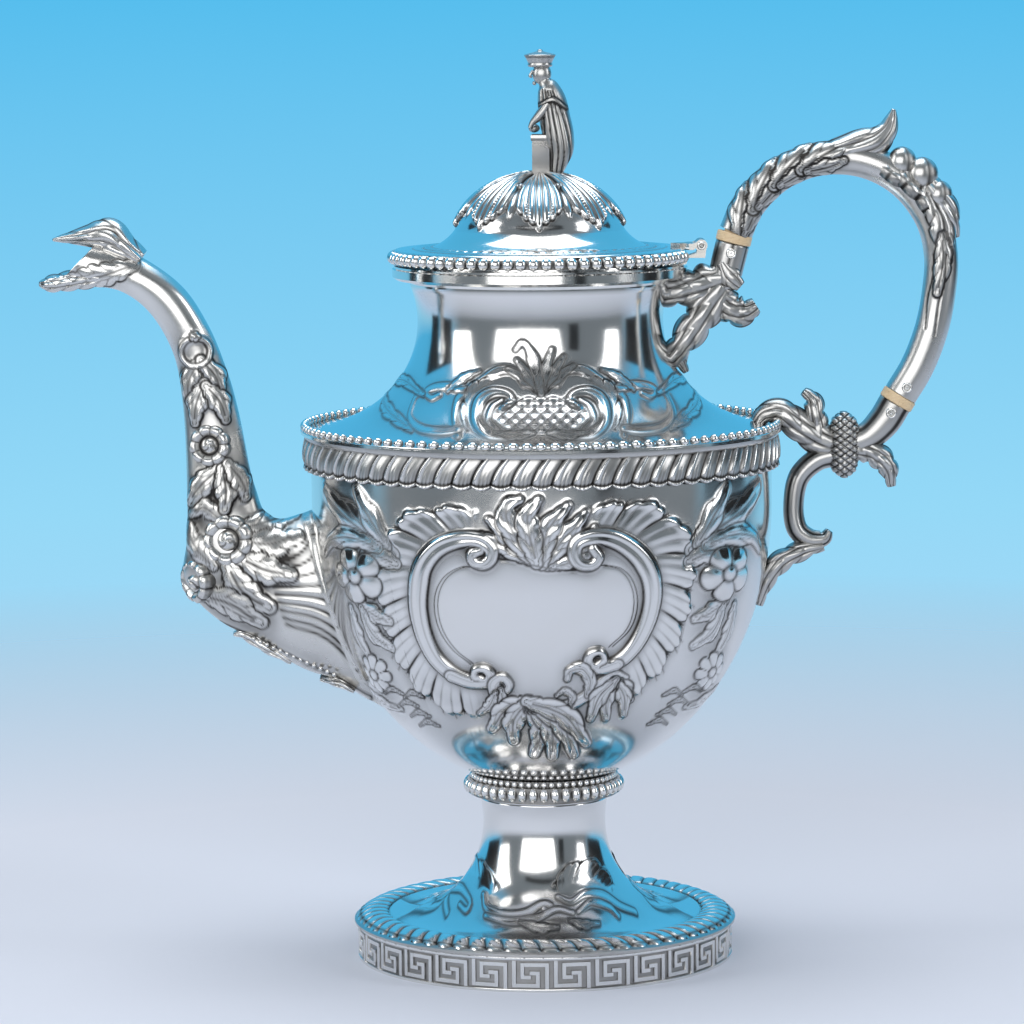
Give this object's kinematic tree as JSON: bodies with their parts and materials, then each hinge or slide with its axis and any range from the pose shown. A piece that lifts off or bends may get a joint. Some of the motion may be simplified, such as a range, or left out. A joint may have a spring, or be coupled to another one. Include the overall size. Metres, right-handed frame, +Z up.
{
  "type": "silver coffee pot",
  "caption": "Footed urn-shaped silver coffee pot with a hinged domed lid, a figure finial, a cast leafy spout and a loop handle set on two insulators.",
  "frame": {"origin": "on the table, in the middle of the foot's bottom edge, on the axis of the bowl", "axes": "+Z up along the bowl's axis, -X towards the spout, +X towards the handle, Y along the lid's hinge pin"},
  "size_m": [0.322, 0.168, 0.3172],
  "materials": {
    "silver_sheet": "polished silver with chased ornament, dark oxide in the recesses",
    "silver_trim": "polished silver beading and gadroons, dark oxide between them",
    "silver_casting": "cast and chased silver, dark oxide in the undercuts",
    "silver_fittings": "plain polished silver",
    "bone_insulator": "turned bone, satin, tan with age"
  },
  "bodies": {
    "pot": {"bowl": "silver_sheet", "neck": "silver_sheet", "mouth_rim": "silver_sheet", "foot_stem": "silver_sheet", "foot_key_band": "silver_sheet", "gadroon_band": "silver_trim", "shoulder_bead_wire": "silver_trim", "foot_gadroon_ring": "silver_trim", "stem_bead_collar": "silver_trim", "spout_half_near": "silver_casting", "spout_half_far": "silver_casting", "upper_socket": "silver_casting", "handle_loop": "silver_casting", "thumb_leaf": "silver_casting", "fruit_cluster": "silver_casting", "lower_bracket": "silver_casting", "body_hinge_leaf": "silver_fittings", "hinge_pin": "silver_fittings", "insulator_pins": "silver_fittings", "upper_insulator": "bone_insulator", "lower_insulator": "bone_insulator"},
    "lid": {"lid_cover": "silver_sheet", "lid_bead_wire": "silver_trim", "lid_bezel": "silver_sheet", "lid_hinge_leaf": "silver_fittings", "finial": "silver_casting", "finial_washer": "silver_fittings", "finial_nut": "silver_fittings"}
  },
  "joints": [
    {"name": "lid_hinge", "type": "hinge", "parent": "pot", "child": "lid", "pos_m": [0.056, 0, 0.2498], "axis": [0, 1, 0], "range_deg": [0, 88]}
  ]
}
